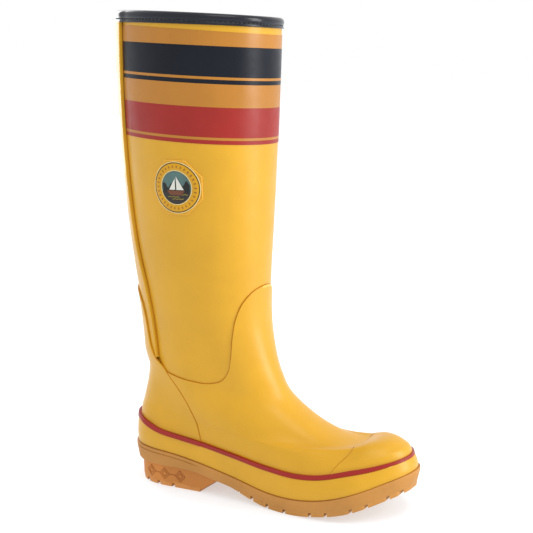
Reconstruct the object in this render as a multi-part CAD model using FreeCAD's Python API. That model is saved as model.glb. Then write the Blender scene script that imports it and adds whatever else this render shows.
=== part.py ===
"""Tall rubber deck boot, right foot.

The boot is laid up on a last: a smooth body through FOOT_SECTIONS and LEG_SECTIONS.  Every layer
(lining, rubber, overlays, foxing, trim) lies between two offsets of that body and is cut to its
outline with a prism drawn in the side view (X to the toe, Z up).
Design X is measured from the axis of the leg; parts are moved to the middle of the boot's length
when they are written.  -Y is the outer side of the foot.  Millimetres.
"""
import FreeCAD, Part
import math
import os

Vec = FreeCAD.Vector

# ---------------------------------------------------------------- driving dimensions
ORIGIN_X = 58.0           # middle of the overall length, from the leg axis
RIM_BACK_Z = 409.0        # top edge of the rubber leg at the back
RIM_BACK_X = -76.0
RIM_SLOPE = 0.0545        # fall of the rim towards the front
RUBBER = 2.2              # leg and foot rubber
LINING = 1.4              # textile lining
STIFFENER = 0.8           # toe puff and heel stiffener, between rubber and lining
OVERLAY = 1.2             # vamp and counter lap over the leg
TOE_CAP = 1.0
FOXING = 3.0              # outer face of the foxing band
PIPING = 3.4              # outer face of the piping
PIPING_HEIGHT = 3.6
BACK_STRIP = 2.8
BINDING = 1.8
BINDING_DEPTH = 8.8       # below the rim, outside and in
BINDING_LIP = 1.3         # above the rim
BINDING_FOLD = 1.2        # inside the lining
STITCH_DEPTH = 5.6
STITCH_HEIGHT = 0.7
STITCH = 0.35
TRIM = 0.6                # striped bands and badge plate
BADGE_FACE = 1.2
BADGE_TOP = 1.5
INSOLE_BOARD = 1.8
FOOTBED = 4.5
FOOTBED_GAP = 0.3
SHANK = (-12.0, 62.0, 14.0, 1.6)            # from, to, width, thickness
HEEL_FILLER = (-48.0, -14.0, 10.0, 9.0)     # from, to, inset from the outline, depth
FOREFOOT_FILLER = (72.0, 178.0, 8.0, 3.0)
WELT = 3.4                # the sole stands out past the upper
WELT_LOWER = 1.6
WELT_EDGE = 3.0           # height of the upright part of the sole's edge
SOLE_EDGE = 13.0
HEEL_TOP_INSET = 0.5
HEEL_FOOT_INSET = 3.0
HEEL_BREAST = ((12, 0), (15, 3), (31, 15), (40, 30))
TREAD_WIDTH = 3.0
TREAD_DEPTH = 3.0
TREAD_GROOVES = (53.0, 66.5, 82.0, 99.0, 123.0, 137.0, 157.0, 168.0, 188.0)
HEEL_GROOVES = (-43.5, -30.5, -15.0)
FAR = 130.0               # past every side of the boot
PAST_TOE = 210.0
PAST_HEEL = -95.0
DEEP = 20.0               # below the floor, for bodies that are cut to shape
TALL = 70.0               # above the sole, for bodies that are cut to shape

BADGE_CENTRE = (7.0, 266.0)
BADGE_PLATE = 22.5        # apothem of the eight-sided plate
BADGE_RIM = (21.3, 19.9)
BADGE_RING = (19.9, 13.0)
# The picture on the badge, from its centre.
WATER_Z = -3.5
MAIN_SAIL = ((0.8, -1.6), (7.6, -1.6), (0.8, 9.6))
JIB = ((-0.4, -1.6), (-6.0, -1.6), (-0.4, 7.6))
HULL = ((-8.4, -2.6), (9.0, -2.6), (5.6, -6.4), (-5.2, -6.4))

# Bands round the top of the leg: name, upper and lower edge below the rim.
BANDS = (
    ("band_ochre_upper", 13.0, 24.0),
    ("band_navy_wide", 24.0, 48.0),
    ("band_ochre_pin_upper", 48.0, 50.2),
    ("band_navy_thin", 50.2, 53.6),
    ("band_ochre_middle", 53.6, 72.0),
    ("band_red_wide", 72.0, 96.0),
    ("band_ochre_pin_lower", 96.0, 98.2),
    ("band_red_thin", 98.2, 101.4),
)

# Feather line: height of the sole's upper edge along the foot.
SOLE_LINE = (
    (-80, 34.5), (-35, 33.8), (-6, 31.4), (15, 27.8), (44, 22.0), (83, 14.4), (109, 14.0),
    (129, 16.5), (146, 20.8), (165, 27.5), (181, 34.0), (194, 38.5), (210, 43.0),
)
# Underside of the outsole: flat over the heel block, arch, ball and toe spring.
TREAD_LINE = (
    (-80, 19.0), (-20, 19.5), (8, 18.6), (30, 14.2), (45, 12.0), (62, 7.0), (76, 2.6), (90, 0.5),
    (101, 0.0), (113, 0.4), (130, 2.9), (155, 10.2), (166, 14.6), (179, 20.3), (188, 23.6),
    (210, 30.0),
)
# Upper edge of the piping above the foxing.
PIPING_LINE = (
    (-80, 66.5), (-62, 64.0), (-50, 61.0), (-40, 57.2), (-30, 53.8), (-3, 49.8), (18, 47.8),
    (47, 44.2), (85, 37.8), (108, 35.8), (128, 37.2), (155, 44.0), (191, 54.8), (210, 60.0),
)
# Edge of the vamp where it laps over the leg, from the counter round the ankle to the shin.
VAMP_LINE = (
    (-16.5, 104.6), (-6, 102.6), (10, 100.4), (26, 99.6), (36, 102.4), (41.5, 109.5),
    (44, 122), (45.2, 139), (47.5, 156), (52, 169), (60, 177.5), (74, 183.5), (95, 188),
)
# Edge of the heel counter: tongue up the back strip, then forward and down to the sole.
COUNTER_TONGUE = (
    (PAST_HEEL, 180), (-62, 177.5), (-50, 172), (-42, 162), (-38, 149), (-32, 126), (-27, 116.5),
    (-16.5, 104.6),
)
COUNTER_LINE = (
    (-16.5, 104.6), (-7.4, 94.5), (4, 78.5), (10.6, 64), (15.6, 47), (20, 28), (22, 5),
)
# Lower edge of the leg rubber, hidden under the vamp and the counter.
LEG_EDGE = (
    (PAST_HEEL, 104), (-30, 98), (-10, 93), (16, 90), (34, 91), (46, 99), (52, 115), (54.5, 138),
    (58, 158), (66, 171), (95, 177),
)
# Side edge of the back strip.
STRIP_LINE = (
    (-52, 425), (-52.5, 393), (-54, 327), (-51, 253), (-44, 208), (-35, 176), (-30.5, 150),
    (-27, 126), (-25.5, 108),
)
STRIP_FOOT_Z = 116.0
# Rear edge of the toe cap.
TOE_LINE = (
    (128, 24), (133.5, 31.5), (137.8, 38), (142.3, 44.3), (149.6, 51.1), (157, 56.3),
    (161, 60), (163, 72),
)
TOE_CAP_TUCK = 4.0        # the cap runs this far down behind the foxing
TOE_PUFF_X = 146.0
TOE_PUFF_TOP = 100.0
STIFFENER_X = -16.0
STIFFENER_Z = 82.0
COUNTER_RISE = (5.66, 6.33)                 # sections where the counter climbs over the strip

# Sections of the last, sole to rim.  Each is a closed ring that runs from its back point to its
# front point: (share of the feather line in its height, height at the back, height at the front,
# rise at the middle, back X, front X, back radius, front radius, outer half widths and inner half
# widths at 0.2, 0.45, 0.7 and 0.88 of its length, sideways place of the back and of the front).
WIDTH_AT = (0.2, 0.45, 0.7, 0.88)
FOOT_SECTIONS = (
    (0.0, (1, 0, 0, 0, -61.5, 192.5, 34, 30, (34, 37, 46.5, 41), (34, 30, 45, 42), 0, 9)),
    (1.0, (1, 9, 5, 0, -62, 193, 34, 30, (34.5, 37.5, 46.5, 41), (34.5, 31, 45, 42), 0, 9)),
    (2.0, (1, 18.5, 11.5, 1, -61.5, 191.5, 33, 28, (34, 38, 45, 39), (34, 32, 44, 40), 0, 9)),
    (3.0, (.8, 30, 28.3, 2, -60.5, 183, 31, 26, (32.5, 39, 41, 33), (32.5, 36, 38, 31), 0, 8)),
    (3.6, (.64, 45, 42.8, 2, -59, 165, 29, 22, (31.5, 38.5, 38, 27), (31.5, 36.5, 34, 24), 0, 7)),
    (4.0, (.5, 55, 45.5, 3, -57.5, 146, 28, 20, (31, 38.5, 35.5, 24), (31, 37, 33, 24), 0, 6)),
    (4.5, (.35, 69, 56.5, 4, -55, 117, 28, 18, (31, 38.5, 33.5, 23), (31, 37.5, 31, 22), 0, 4)),
    (5.0, (.2, 84, 74, 5, -52.5, 91, 28, 18, (31, 39, 33, 23), (31, 39, 32, 22), 0, 3)),
    (6.0, (0, 112, 104, 4, -50.5, 71, 30, 22, (33, 41, 35, 25), (33, 41, 35, 25), 0, 1)),
)
# Leg sections: height at the back and at the front, back X, front X, half width, narrowing
# towards the back.
LEG_SECTIONS = (
    (7.0, (150, 144, -54.3, 60.5, 43, .08)),
    (8.0, (190, 185, -61, 59.5, 47, .10)),
    (9.0, (240, 234, -68, 61.5, 51.5, .12)),
    (10.0, (310, 303, -73.2, 64, 57, .13)),
    (11.0, (370, 362, -75.7, 66, 59.5, .13)),
    (12.0, (409, 401.2, -76, 67, 60, .13)),
    (13.0, (425, 417.2, -76.2, 67.2, 60.2, .13)),
)
LEVELS = (
    0, .5, 1, 1.5, 2, 2.5, 3, 3.3, 3.6, 3.8, 4, 4.25, 4.5, 4.75, 5, 5.33, 5.66, 6, 6.33, 6.66,
    7, 7.5, 8, 8.5, 9, 9.5, 10, 10.5, 11, 11.5, 12, 12.5, 13,
)
POINTS_ROUND = 44


# ---------------------------------------------------------------- the last
def smooth(xs, rows, x):
    """Cubic interpolation of rows of numbers over xs."""
    count = len(xs)
    steps = [xs[i + 1] - xs[i] for i in range(count - 1)]
    index = max(i for i in range(count - 1) if i == 0 or xs[i] <= x)
    t = (x - xs[index]) / steps[index]
    result = []
    for column in range(len(rows[0])):
        rise = [(rows[i + 1][column] - rows[i][column]) / steps[i] for i in range(count - 1)]

        def slope(i):
            if i == 0:
                return rise[0]
            if i == count - 1:
                return rise[-1]
            return (rise[i - 1] * steps[i] + rise[i] * steps[i - 1]) / (steps[i] + steps[i - 1])

        low, high = rows[index][column], rows[index + 1][column]
        step = steps[index]
        result.append((2 * t**3 - 3 * t**2 + 1) * low + (t**3 - 2 * t**2 + t) * step * slope(index)
                      + (3 * t**2 - 2 * t**3) * high + (t**3 - t**2) * step * slope(index + 1))
    return result


def sole_height(x):
    xs = [p[0] for p in SOLE_LINE]
    return smooth(xs, [[p[1]] for p in SOLE_LINE], min(max(x, xs[0]), xs[-1]))[0]


def fullness(length, back_radius, front_radius, widths):
    """Width coefficients along a ring, so that half width = coefficient * sin(angle) / 2."""
    middle = [w / math.sqrt(f * (1 - f)) for w, f in zip(widths, WIDTH_AT)]
    return [math.sqrt(2 * length * back_radius)] + middle + [math.sqrt(2 * length * front_radius)]


def section_row(share, back_z, front_z, rise, back_x, front_x, back_r, front_r,
                outer, inner, back_y, front_y):
    length = front_x - back_x
    return ([share, back_z, front_z, rise, back_x, front_x, back_y, front_y]
            + fullness(length, back_r, front_r, outer) + fullness(length, back_r, front_r, inner))


def leg_row(back_z, front_z, back_x, front_x, half_width, narrowing):
    radius = half_width**2 / ((front_x - back_x) / 2)
    widths = [half_width * 2 * math.sqrt(f * (1 - f)) * (1 - narrowing * (1 - 2 * f))
              for f in WIDTH_AT]
    return section_row(0, back_z, front_z, 0, back_x, front_x, radius * (1 - narrowing)**2,
                       radius * (1 + narrowing)**2, widths, widths, 0, 0)


SECTION_U = [s[0] for s in FOOT_SECTIONS + LEG_SECTIONS]
SECTION_ROWS = ([section_row(*s[1]) for s in FOOT_SECTIONS]
                + [leg_row(*s[1]) for s in LEG_SECTIONS])
FULLNESS_AT = (0.0,) + WIDTH_AT + (1.0,)


def last_point(row, angle):
    """Point of a section: angle 0 at the back, half a turn at the front, outer side first."""
    share, back_z, front_z, rise, back_x, front_x, back_y, front_y = row[:8]
    along = (1 - math.cos(angle)) / 2
    side = math.sin(angle)
    widths = row[8:14] if side >= 0 else row[14:20]
    width = smooth(FULLNESS_AT, [[w] for w in widths], along)[0] * abs(side) / 2
    x = back_x + (front_x - back_x) * along
    y = -width if side >= 0 else width
    y += back_y + (front_y - back_y) * along * along * (3 - 2 * along)
    z = back_z + (front_z - back_z) * along + rise * 4 * along * (1 - along)
    if share:
        z += share * sole_height(x)
    return Vec(x, y, z)


def row_at(u):
    return smooth(SECTION_U, SECTION_ROWS, u)


def ring(u, offset):
    """Points of section u moved out along the last's normal."""
    step = 0.01
    here = row_at(u)
    above = row_at(min(u + step, SECTION_U[-1]))
    below = row_at(max(u - step, 0))
    points = []
    for i in range(POINTS_ROUND):
        angle = 2 * math.pi * i / POINTS_ROUND
        point = last_point(here, angle)
        if offset:
            along = last_point(here, angle + step) - last_point(here, angle - step)
            up = last_point(above, angle) - last_point(below, angle)
            normal = along.cross(up)
            normal.normalize()
            point = point + normal * offset
        points.append(point)
    return points


def outline(offset, height):
    """Plan outline of the sole moved out by offset, each point at height(x)."""
    step = 0.01
    points = []
    for i in range(POINTS_ROUND):
        angle = 2 * math.pi * i / POINTS_ROUND
        point = last_point(SECTION_ROWS[0], angle)
        along = last_point(SECTION_ROWS[0], angle + step) - last_point(SECTION_ROWS[0], angle - step)
        normal = Vec(along.x, along.y, 0).cross(Vec(0, 0, 1))
        normal.normalize()
        point = point + normal * offset
        points.append(Vec(point.x, point.y, height(point.x)))
    return points


def loop_curve(points):
    curve = Part.BSplineCurve()
    steps = [2 * math.pi * i / len(points) for i in range(len(points) + 1)]
    curve.interpolate(Points=points, PeriodicFlag=True, Parameters=steps)
    return curve


def ruled_loft(loops):
    wires = [Part.Wire([loop_curve(points).toShape()]) for points in loops]
    solid = Part.makeLoft(wires, True, True)
    if solid.Volume < 0:
        solid.reverse()
    return solid


def loop_surface(loops):
    """Smooth surface through every loop, closed round the loops."""
    heights = [0.0]
    for lower, upper in zip(loops, loops[1:]):
        steps = [(b - a).Length for a, b in zip(lower, upper)]
        heights.append(heights[-1] + sum(steps) / len(steps))
    columns = []
    for column in zip(*loops):
        curve = Part.BSplineCurve()
        curve.interpolate(Points=list(column), Parameters=heights)
        columns.append(curve)
    rows = [loop_curve(list(row)) for row in zip(*[c.getPoles() for c in columns])]
    surface = Part.BSplineSurface()
    surface.buildFromPolesMultsKnots(
        [r.getPoles() for r in rows], columns[0].getMultiplicities(),
        rows[0].getMultiplicities(), columns[0].getKnots(), rows[0].getKnots(), False, True, 3, 3)
    surface.setVNotPeriodic()
    return surface


def smooth_loft(loops):
    """Closed solid with one smooth surface through every loop, in an outer and an inner half."""
    surface = loop_surface(loops)
    low, high, start, end = surface.bounds()
    front = (start + end) / 2
    faces = []
    for first, last in ((start, front), (front, end)):
        half = surface.copy()
        half.segment(low, high, first, last)
        faces.append(half.toShape())
    for level in (low, high):
        rim = surface.uIso(level)
        faces.append(Part.Face(Part.Wire([rim.toShape(start, front), rim.toShape(front, end)])))
    skin = Part.makeCompound(faces)
    skin.sewShape(1e-4)
    solid = Part.Solid(skin.Shells[0])
    if solid.Volume < 0:
        solid.reverse()
    return solid


BODIES = {}


def body(offset):
    """Solid inside the last moved out by offset, from below the floor to above the rim."""
    if offset not in BODIES:
        amount = offset if callable(offset) else lambda u: offset
        loops = [outline(amount(0), lambda x: -DEEP),
                 outline(amount(0), lambda x: sole_height(x) - SOLE_EDGE)]
        loops += [ring(u, amount(u)) for u in LEVELS]
        loops[-1] = flat(loops[-1])
        BODIES[offset] = smooth_loft(loops)
    return BODIES[offset]


def flat(points):
    """Lay a ring's points in the sloping plane through its back and front."""
    back, front = points[0], points[len(points) // 2]
    slope = (front.z - back.z) / (front.x - back.x)
    return [Vec(p.x, p.y, back.z + slope * (p.x - back.x)) for p in points]


# ---------------------------------------------------------------- side-view prisms
def curve_edge(points, lift=0.0):
    curve = Part.BSplineCurve()
    curve.interpolate([Vec(x, 0, z + lift) for x, z in points])
    return curve.toShape()


def line_edges(points):
    vectors = [Vec(x, 0, z) for x, z in points]
    return [Part.LineSegment(a, b).toShape() for a, b in zip(vectors, vectors[1:])]


def prism(edges, side=(-FAR, FAR)):
    face = Part.Face(Part.Wire(Part.__sortEdges__(edges)))
    face.translate(Vec(0, side[0], 0))
    return face.extrude(Vec(0, side[1] - side[0], 0))


def polygon(points, side=(-FAR, FAR)):
    return prism(line_edges(list(points) + [points[0]]), side)


def ends(points, lift=0.0):
    return (points[0][0], points[0][1] + lift), (points[-1][0], points[-1][1] + lift)


def between(line, low, high):
    """Prism between two heights of one side-view line."""
    low_start, low_end = ends(line, low)
    high_start, high_end = ends(line, high)
    return prism([curve_edge(line, low), curve_edge(line, high)]
                 + line_edges([low_start, high_start]) + line_edges([low_end, high_end]))


def above(line, lift=0.0, top=450.0):
    start, end = ends(line, lift)
    return prism([curve_edge(line, lift)]
                 + line_edges([start, (start[0], top), (end[0], top), end]))


def below(line, lift=0.0, bottom=-DEEP):
    return above(line, lift, bottom)


def rim_height(x, depth):
    return RIM_BACK_Z - RIM_SLOPE * (x - RIM_BACK_X) - depth


def rim_slab(upper, lower):
    """Prism between two depths below the rim."""
    return polygon([(-FAR, rim_height(-FAR, lower)), (FAR, rim_height(FAR, lower)),
                    (FAR, rim_height(FAR, upper)), (-FAR, rim_height(-FAR, upper))])


SHELLS = {}


def layer(inner, outer, *regions):
    """What lies between two offsets of the last and inside every region."""
    if (inner, outer) not in SHELLS:
        SHELLS[(inner, outer)] = body(outer) if inner is None else body(outer).cut(body(inner))
    region = regions[0]
    for other in regions[1:]:
        region = region.common(other)
    return SHELLS[(inner, outer)].common(region)


# ---------------------------------------------------------------- regions
ABOVE_SOLE = above(SOLE_LINE)
ON_BOARD = above(SOLE_LINE, INSOLE_BOARD)
UNDER_RIM = rim_slab(0, 500)
ON_LEG = above(LEG_EDGE)
ON_FOOT = below(LEG_EDGE)
UNDER_PIPING = below(PIPING_LINE, -PIPING_HEIGHT)
STRIP_SIDE = prism([curve_edge(STRIP_LINE)]
                   + line_edges([STRIP_LINE[-1], (-FAR, STRIP_LINE[-1][1]),
                                 (-FAR, STRIP_LINE[0][1]), STRIP_LINE[0]]))
COUNTER_SIDE = prism([curve_edge(COUNTER_TONGUE), curve_edge(COUNTER_LINE)]
                     + line_edges([COUNTER_LINE[-1], (PAST_HEEL, COUNTER_LINE[-1][1]),
                                   COUNTER_TONGUE[0]]))
VAMP_SIDE = prism([curve_edge(VAMP_LINE), curve_edge(COUNTER_LINE)]
                  + line_edges([COUNTER_LINE[-1], (PAST_TOE, COUNTER_LINE[-1][1]),
                                (PAST_TOE, VAMP_LINE[-1][1]), VAMP_LINE[-1]]))
TOE_SIDE = prism([curve_edge(TOE_LINE)]
                 + line_edges([TOE_LINE[-1], (PAST_TOE, TOE_LINE[-1][1]),
                               (PAST_TOE, TOE_LINE[0][1]), TOE_LINE[0]]))
INNER = -RUBBER
SKIN = -RUBBER - LINING


# ---------------------------------------------------------------- leg
def make_leg():
    parts = {}
    parts["leg_shell"] = layer(INNER, 0.0, ON_LEG, UNDER_RIM)
    parts["leg_lining"] = layer(SKIN, INNER, ON_LEG, UNDER_RIM)
    strip_zone = polygon([(-FAR, STRIP_FOOT_Z), (FAR, STRIP_FOOT_Z),
                          (FAR, rim_height(FAR, BINDING_DEPTH)),
                          (-FAR, rim_height(-FAR, BINDING_DEPTH))])
    parts["back_strip"] = layer(0.0, BACK_STRIP, STRIP_SIDE, strip_zone)
    cuff = rim_slab(-BINDING_LIP, BINDING_DEPTH)
    outer = layer(None, BINDING, cuff)
    outer = outer.fuse(layer(None, BACK_STRIP + OVERLAY, cuff, STRIP_SIDE))
    binding = outer.cut(body(SKIN - BINDING_FOLD)).removeSplitter()
    for other in ("leg_shell", "leg_lining"):
        binding = binding.cut(parts[other])
    parts["top_binding"] = binding
    thread = rim_slab(STITCH_DEPTH, STITCH_DEPTH + STITCH_HEIGHT)
    parts["binding_stitching"] = layer(BINDING, BINDING + STITCH, thread).cut(STRIP_SIDE)
    for name, upper, lower in BANDS:
        parts[name] = layer(0.0, TRIM, rim_slab(upper, lower)).cut(STRIP_SIDE)
    return parts


def circle_prism(centre, radius):
    edge = Part.Circle(Vec(centre[0], 0, centre[1]), Vec(0, 1, 0), radius).toShape()
    return prism([edge], (-FAR, 0))


def make_badge():
    """Eight-sided plate with a round sailing emblem on the outer side of the leg."""
    cx, cz = BADGE_CENTRE

    def figure(points):
        return polygon([(cx + x, cz + z) for x, z in points], (-FAR, 0))

    corner = BADGE_PLATE / math.cos(math.pi / 8)
    turns = [math.pi / 8 + math.pi / 4 * i for i in range(8)]
    plate = figure([(corner * math.cos(t), corner * math.sin(t)) for t in turns])
    discs = {r: circle_prism(BADGE_CENTRE, r) for r in set(BADGE_RIM + BADGE_RING)}
    radius = BADGE_RING[1]
    above_water = figure([(-radius, WATER_Z), (radius, WATER_Z), (radius, radius),
                          (-radius, radius)])
    picture = layer(TRIM, BADGE_FACE, discs[BADGE_RING[1]])
    rim = discs[BADGE_RIM[0]].cut(discs[BADGE_RIM[1]])
    ring_band = discs[BADGE_RING[0]].cut(discs[BADGE_RING[1]])
    return {
        "badge_plate": layer(0.0, TRIM, plate),
        "badge_rim": layer(TRIM, BADGE_TOP, rim),
        "badge_ring": layer(TRIM, BADGE_FACE, ring_band),
        "badge_sky": picture.common(above_water),
        "badge_sea": picture.cut(above_water),
        "badge_sails": layer(BADGE_FACE, BADGE_TOP, figure(MAIN_SAIL).fuse(figure(JIB))),
        "badge_hull": layer(BADGE_FACE, BADGE_TOP, figure(HULL)),
    }


# ---------------------------------------------------------------- foot
def counter_offset(u):
    """The counter lies over the back strip above its foot, and on the leg rubber below it."""
    start, end = COUNTER_RISE
    t = min(max((u - start) / (end - start), 0), 1)
    return OVERLAY + BACK_STRIP * t


def make_foot(leg):
    parts = {}
    vamp = layer(INNER, OVERLAY, VAMP_SIDE, ABOVE_SOLE)
    parts["vamp"] = vamp.cut(leg["leg_shell"]).cut(leg["leg_lining"])
    counter = layer(INNER, counter_offset, COUNTER_SIDE, ABOVE_SOLE)
    parts["heel_counter"] = counter.cut(leg["leg_shell"]).cut(leg["back_strip"])
    toe_zone = above(PIPING_LINE, -PIPING_HEIGHT - TOE_CAP_TUCK)
    parts["toe_cap"] = layer(OVERLAY, OVERLAY + TOE_CAP, TOE_SIDE, toe_zone)
    band = layer(OVERLAY, FOXING, ABOVE_SOLE, UNDER_PIPING)
    parts["foxing_band"] = band.cut(parts["toe_cap"])
    piping = layer(OVERLAY, PIPING, between(PIPING_LINE, -PIPING_HEIGHT, 0))
    parts["foxing_piping"] = piping.cut(parts["toe_cap"])
    puff_zone = polygon([(TOE_PUFF_X, -DEEP), (PAST_TOE, -DEEP), (PAST_TOE, TOE_PUFF_TOP),
                         (TOE_PUFF_X, TOE_PUFF_TOP)])
    parts["toe_puff"] = layer(INNER - STIFFENER, INNER, puff_zone, ON_BOARD)
    heel_zone = polygon([(-FAR, -DEEP), (STIFFENER_X, -DEEP), (STIFFENER_X, STIFFENER_Z),
                         (-FAR, STIFFENER_Z)])
    parts["heel_stiffener"] = layer(INNER - STIFFENER, INNER, heel_zone, ON_BOARD)
    lining = layer(SKIN, INNER, ON_FOOT, ON_BOARD)
    parts["foot_lining"] = lining.cut(parts["toe_puff"]).cut(parts["heel_stiffener"])
    parts["insole_board"] = layer(None, INNER, between(SOLE_LINE, 0, INSOLE_BOARD))
    parts["footbed"] = layer(None, SKIN - FOOTBED_GAP,
                             between(SOLE_LINE, INSOLE_BOARD, INSOLE_BOARD + FOOTBED))
    return parts


# ---------------------------------------------------------------- sole
def slot(start, end, half_width, depth):
    box = Part.makeBox(end - start, 2 * half_width, 100, Vec(start, -half_width, 0))
    return between(SOLE_LINE, -depth, 0).common(box)


def grooves(places, line):
    """Cross grooves of the tread, following the underside."""
    xs = [p[0] for p in line]
    cuts = []
    for x in places:
        z = smooth(xs, [[p[1]] for p in line], x)[0]
        corner = Vec(x - TREAD_WIDTH / 2, -FAR, z - DEEP)
        cuts.append(Part.makeBox(TREAD_WIDTH, 2 * FAR, TREAD_DEPTH + DEEP, corner))
    return Part.makeCompound(cuts)


def make_sole():
    parts = {}
    wall = ruled_loft([
        outline(WELT_LOWER, lambda x: -DEEP),
        outline(WELT_LOWER, lambda x: sole_height(x) - SOLE_EDGE),
        outline(WELT, lambda x: sole_height(x) - WELT_EDGE),
        outline(WELT, lambda x: sole_height(x) + WELT_EDGE),
        outline(WELT, lambda x: TALL),
    ])
    between_lines = prism([curve_edge(SOLE_LINE), curve_edge(TREAD_LINE)]
                          + line_edges([SOLE_LINE[0], TREAD_LINE[0]])
                          + line_edges([SOLE_LINE[-1], TREAD_LINE[-1]]))
    outsole = wall.common(between_lines)
    start, end, width, thickness = SHANK
    parts["shank"] = slot(start, end, width / 2, thickness)
    for name, (start, end, inset, depth) in (("heel_filler", HEEL_FILLER),
                                             ("forefoot_filler", FOREFOOT_FILLER)):
        core = ruled_loft([outline(-inset, lambda x: -DEEP), outline(-inset, lambda x: TALL)])
        parts[name] = core.common(slot(start, end, FAR, depth))
    for name in ("shank", "heel_filler", "forefoot_filler"):
        outsole = outsole.cut(parts[name])
    parts["outsole"] = outsole.cut(grooves(TREAD_GROOVES, TREAD_LINE))
    top = HEEL_BREAST[-1][1]
    heel = ruled_loft([outline(-HEEL_FOOT_INSET, lambda x: 0),
                       outline(-HEEL_TOP_INSET, lambda x: top)])
    side = prism([curve_edge(HEEL_BREAST)]
                 + line_edges([HEEL_BREAST[-1], (PAST_HEEL, top), (PAST_HEEL, 0),
                               HEEL_BREAST[0]]))
    heel = heel.common(side).common(below(TREAD_LINE))
    floor = ((PAST_HEEL, 0), (HEEL_BREAST[-1][0], 0))
    parts["heel_block"] = heel.cut(grooves(HEEL_GROOVES, floor))
    return parts


# ---------------------------------------------------------------- output
def main():
    os.makedirs("parts", exist_ok=True)
    leg = make_leg()
    parts = dict(leg)
    parts.update(make_badge())
    parts.update(make_foot(leg))
    parts.update(make_sole())
    for name, shape in parts.items():
        solids = [s for s in shape.Solids if s.Volume > 0.01]
        result = solids[0] if len(solids) == 1 else Part.makeCompound(solids)
        result.translate(Vec(-ORIGIN_X, 0, 0))
        result.exportStep("parts/%s.step" % name)
        print("%-22s solids %2d valid %s tolerance %.4f volume %.2f cm3" % (
            name, len(solids), result.isValid(), result.getTolerance(1), result.Volume / 1000))


main()
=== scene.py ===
"""Looks of the tall rubber deck boot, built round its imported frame.

Lengths are millimetres in the boot's design axes (X from the axis of the leg towards the toe, Z up,
-Y to the outer side) until a mesh is made, which is in metres in the frame's axes.
"""

import math

import bmesh
import bpy
import numpy as np
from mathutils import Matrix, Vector


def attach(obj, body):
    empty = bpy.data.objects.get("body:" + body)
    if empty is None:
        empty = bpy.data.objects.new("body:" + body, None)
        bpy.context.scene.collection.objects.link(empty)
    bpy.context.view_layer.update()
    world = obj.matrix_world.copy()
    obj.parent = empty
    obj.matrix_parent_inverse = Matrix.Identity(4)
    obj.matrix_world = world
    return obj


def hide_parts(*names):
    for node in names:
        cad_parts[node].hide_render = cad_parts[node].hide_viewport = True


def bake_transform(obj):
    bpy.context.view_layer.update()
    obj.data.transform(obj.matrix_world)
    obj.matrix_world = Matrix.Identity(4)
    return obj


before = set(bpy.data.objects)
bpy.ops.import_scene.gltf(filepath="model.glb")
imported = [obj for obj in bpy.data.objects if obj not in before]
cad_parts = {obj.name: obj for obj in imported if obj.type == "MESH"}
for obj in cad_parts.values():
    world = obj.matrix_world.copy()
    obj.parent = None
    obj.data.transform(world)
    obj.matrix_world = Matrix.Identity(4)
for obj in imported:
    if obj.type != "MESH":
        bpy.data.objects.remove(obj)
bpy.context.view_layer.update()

# ---------------- driving dimensions
TURN = 2 * np.pi
LEG_AXIS_X = -58.0        # the leg's axis in the frame
RIM_BACK_Z, RIM_BACK_X, RIM_SLOPE, RIM_LENGTH = 409.0, -76.0, 0.0545, 143.0
RUBBER, LINING = 2.2, 1.4
OVERLAY = 1.2             # vamp and counter over the leg
COUNTER_STEP = 0.45       # the counter stands above the vamp
TOE_CAP_FADE = 9.0        # and it thins again over this height above the piping
TOE_CAP, TOE_CAP_SWELL, TOE_CAP_RISE = 0.6, 1.7, 15.0   # edge, further thickness, its length
PIPING_STEP, PIPING_STEP_X = 0.8, 15.6      # the piping is thicker on the counter
FOXING, PIPING, PIPING_HEIGHT = 3.0, 3.4, 3.6
BACK_STRIP = 3.3
BINDING_DEPTH, BINDING_FOLD = 8.8, 1.2
STITCH_DEPTH, STITCH_PITCH, STITCH_LENGTH, STITCH_RADIUS = 6.0, 4.0, 3.0, 0.34
BINDING_FRONT = 0.86      # the binding is narrower at the front
BINDING_OVER_STRIP = 0.45  # share of the back strip's height that shows through it
BAND = 0.35
SEAM, STRIP_SHADE, SOLE_GAP_SHADE, CREASE_SHADE = 0.42, 0.5, 0.6, 0.45     # radii of the dark beads: cement with painted shade, painted shade by the back strip, painted shadow under the foxing, painted shade in the toe cap's creases
WELT, WELT_LOWER = 4.4, 2.2     # the sole stands out past the upper
WELT_GROOVE, GROOVE_END_X = 0.8, (6, 20)    # groove round the heel end of the welt, fading here
LUG = 3.2                 # depth of the tread
LUG_GAP = 2.8
FIRST_BAND_TOP = (10.2, 13.0)   # below the rim, at the back and at the front
HEEL_TOP_INSET, HEEL_FOOT_INSET = 0.5, 1.6
HEEL_BREAST = ((12, 0), (15, 3), (31, 15), (40, 30))
NOTCHES = (53.0, 66.5, 82.0, 99.0, 123.0, 137.0, 157.0, 168.0, 181.5, 189.0)
HEEL_NOTCHES = (-43.5, -30.5, -15.0, 13.5)
DIAMONDS, DIAMOND_HALVES = ((-38.5, 11.4), (-23.5, 11.2), (-7.5, 10.9)), (5.0, 2.7)
DIAMOND_LINE = 0.38

BADGE_CENTRE = (7.0, 266.0)
BADGE_PLATE = 22.5
BADGE_RIM, BADGE_RING, BADGE_PICTURE = 21.3, 19.9, 13.6
BADGE_RIM_WIDTH, BADGE_CREAM_WIDTH, BADGE_SEAT = 0.75, 0.8, 0.5
MARKS, MARK_HALF_WIDTH, MARK_HALF_HEIGHT = 30, 0.5, 1.0

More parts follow.
